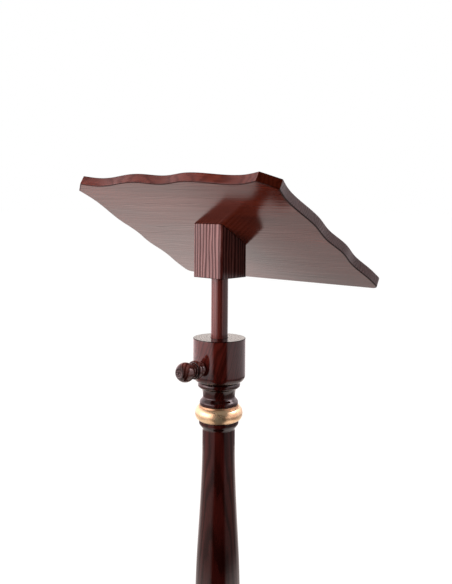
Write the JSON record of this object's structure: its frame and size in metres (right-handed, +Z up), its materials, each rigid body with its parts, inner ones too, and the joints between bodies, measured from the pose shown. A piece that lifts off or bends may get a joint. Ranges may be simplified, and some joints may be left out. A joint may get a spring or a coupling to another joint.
{
  "type": "floor lectern",
  "caption": "Stained wood floor lectern: a sloping scalloped desk on a round rod that slides and turns in a turned stem, held by a wooden thumb screw.",
  "frame": {"origin": "on the floor under the stem's axis, at the centre of the base", "axes": "+Z up along the stem; +X to the right of a reader; +Y away from the reader, who stands on the -Y side and looks towards +Y"},
  "size_m": [0.48, 0.42, 1.1971],
  "materials": {
    "stained_wood": "dark red-brown stain under gloss lacquer",
    "plain_wood": "bare beech",
    "gilt": "gold leaf on turned wood, burnished",
    "brass": "turned",
    "steel": "zinc plated",
    "felt": "pressed wool felt"
  },
  "bodies": {
    "stand": {"clamp_head": "stained_wood", "thread_insert": "brass", "upper_ring": "gilt", "column": "stained_wood", "lower_ring": "gilt", "pedestal": "stained_wood", "base_disc": "stained_wood", "foot_1": "stained_wood", "foot_2": "stained_wood", "foot_3": "stained_wood", "foot_4": "stained_wood", "felt_1": "felt", "felt_2": "felt", "felt_3": "felt", "felt_4": "felt", "tie_sleeve": "brass", "tie_rod": "steel", "tie_washer": "steel", "tie_nut": "steel"},
    "rod_guide": {"guide_disc": "plain_wood"},
    "desk": {"desk_board": "stained_wood", "book_ledge": "stained_wood", "ledge_dowels": "plain_wood", "head_block": "stained_wood", "block_screws": "steel", "screw_plugs": "stained_wood", "rod": "stained_wood", "guide_screw": "steel"},
    "clamp_pad": {"pressure_pad": "brass"},
    "clamp_screw": {"clamp_stud": "steel", "clamp_knob": "stained_wood"}
  },
  "joints": [
    {"name": "height_slide", "type": "slide", "parent": "stand", "child": "rod_guide", "axis": [0, 0, 1], "range_m": [-0.109, 0.2]},
    {"name": "desk_swivel", "type": "hinge", "parent": "rod_guide", "child": "desk", "pos_m": [0, 0, 1], "axis": [0, 0, 1], "continuous": true},
    {"name": "clamp_feed", "type": "slide", "parent": "stand", "child": "clamp_pad", "axis": [0, 1, 0], "range_m": [0, 0.0042]},
    {"name": "clamp_turn", "type": "hinge", "parent": "clamp_pad", "child": "clamp_screw", "pos_m": [0, 0.06, 0.8505], "axis": [0, 1, 0], "range_deg": [0, 1080]}
  ],
  "couplings": [
    {"joint": "clamp_feed", "follows": "clamp_turn", "m_per_rad": 0.00019894}
  ]
}
